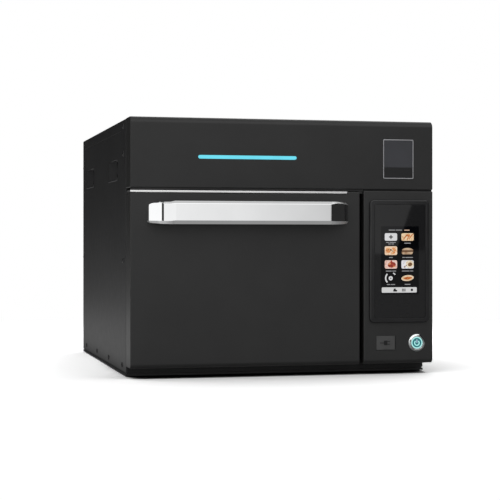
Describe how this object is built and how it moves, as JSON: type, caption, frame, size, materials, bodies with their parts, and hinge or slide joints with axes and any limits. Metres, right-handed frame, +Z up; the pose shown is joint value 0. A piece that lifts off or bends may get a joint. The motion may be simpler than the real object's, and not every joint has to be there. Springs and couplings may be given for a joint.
{
  "type": "speed oven",
  "caption": "Countertop speed oven: a drop-down door with a bar handle closes a small cavity with jet plates and a wire rack, beside a column with a touch display and a lit power button.",
  "frame": {"origin": "centre of the bounding box's footprint, on the surface that the feet stand on", "axes": "+X to the right seen from the front, +Y from the door to the rear panel, +Z up"},
  "size_m": [0.5, 0.6614, 0.412],
  "materials": {
    "cabinet_coat": "satin black powder coat",
    "front_coat": "satin black powder coat, fine",
    "black_plastic": "fine satin",
    "grey_plastic": "fine satin",
    "display_glass": "gloss, black backed",
    "cyan_light": "lit, diffuse",
    "polished_trim": "polished",
    "brushed_steel": "satin",
    "stainless_sheet": "satin",
    "galvanised_sheet": "zinc plated",
    "cast_housing": "varnished",
    "foot_rubber": "matte",
    "insulation_wool": "mineral wool",
    "circuit_board": "solder mask"
  },
  "bodies": {
    "cabinet": {"base_tray": "cabinet_coat", "foot_left_front": "foot_rubber", "foot_left_rear": "foot_rubber", "foot_right_front": "foot_rubber", "foot_right_rear": "foot_rubber", "left_side_panel": "cabinet_coat", "right_side_panel": "cabinet_coat", "top_cover": "cabinet_coat", "front_frame": "cabinet_coat", "lower_front_rail": "cabinet_coat", "rear_panel": "cabinet_coat", "cable_gland": "black_plastic", "header_panel": "front_coat", "status_light_pipe": "cyan_light", "status_light_board": "circuit_board", "control_panel": "front_coat", "touch_bezel": "black_plastic", "touch_glass": "display_glass", "lcd_module": "galvanised_sheet", "control_board": "circuit_board", "usb_socket": "brushed_steel", "power_switch_body": "brushed_steel", "hinge_bracket_left": "galvanised_sheet", "hinge_bracket_right": "galvanised_sheet", "interlock_switch_left": "grey_plastic", "interlock_switch_right": "grey_plastic", "cavity_liner": "stainless_sheet", "cavity_insulation": "insulation_wool", "upper_jet_plate": "stainless_sheet", "lower_jet_plate": "stainless_sheet", "blower_housing": "stainless_sheet", "blower_motor": "cast_housing", "air_heater_coil": "brushed_steel", "catalyst": "stainless_sheet", "waveguide": "galvanised_sheet", "magnetron": "galvanised_sheet", "hv_transformer": "cast_housing", "hv_capacitor": "galvanised_sheet", "cooling_fan_frame": "black_plastic"},
    "door": {"door_outer_shell": "front_coat", "door_inner_panel": "stainless_sheet", "door_insulation": "insulation_wool", "door_choke": "stainless_sheet", "door_trim_strip": "polished_trim", "door_handle": "polished_trim", "handle_bolt_left": "galvanised_sheet", "handle_bolt_right": "galvanised_sheet", "latch_hook_left": "brushed_steel", "latch_hook_right": "brushed_steel", "hinge_arm_left": "galvanised_sheet", "hinge_arm_right": "galvanised_sheet", "hinge_pin_left": "brushed_steel", "hinge_pin_right": "brushed_steel"},
    "power_button": {"power_button_cap": "brushed_steel", "power_button_light_ring": "cyan_light"},
    "usb_flap": {"usb_cover": "grey_plastic"},
    "rack": {"wire_rack": "polished_trim"},
    "blower_rotor": {"blower_wheel": "stainless_sheet", "blower_shaft": "brushed_steel"},
    "fan_rotor": {"cooling_fan_wheel": "black_plastic"}
  },
  "joints": [
    {"name": "door_hinge", "type": "hinge", "parent": "cabinet", "child": "door", "pos_m": [-0.0625, -0.26965, 0.026], "axis": [1, 0, 0], "range_deg": [0, 81], "stiffness_Nm_per_rad": 2.4, "springref_deg": -34.38},
    {"name": "power_press", "type": "slide", "parent": "cabinet", "child": "power_button", "axis": [0, 1, 0], "range_m": [0, 0.0015], "stiffness_N_per_m": 600, "springref_m": -0.002},
    {"name": "usb_flap_hinge", "type": "hinge", "parent": "cabinet", "child": "usb_flap", "pos_m": [0.16905, -0.29025, 0.0614], "axis": [-1, 0, 0], "range_deg": [0, 100]},
    {"name": "rack_lift", "type": "slide", "parent": "cabinet", "child": "rack", "axis": [0, 0, 1], "range_m": [0, 0.034]},
    {"name": "blower_spin", "type": "hinge", "parent": "cabinet", "child": "blower_rotor", "pos_m": [-0.0625, 0.10635, 0.161], "axis": [0, 1, 0], "continuous": true},
    {"name": "cooling_fan_spin", "type": "hinge", "parent": "cabinet", "child": "fan_rotor", "pos_m": [0.196, 0.29, 0.116], "axis": [0, 1, 0], "continuous": true}
  ]
}
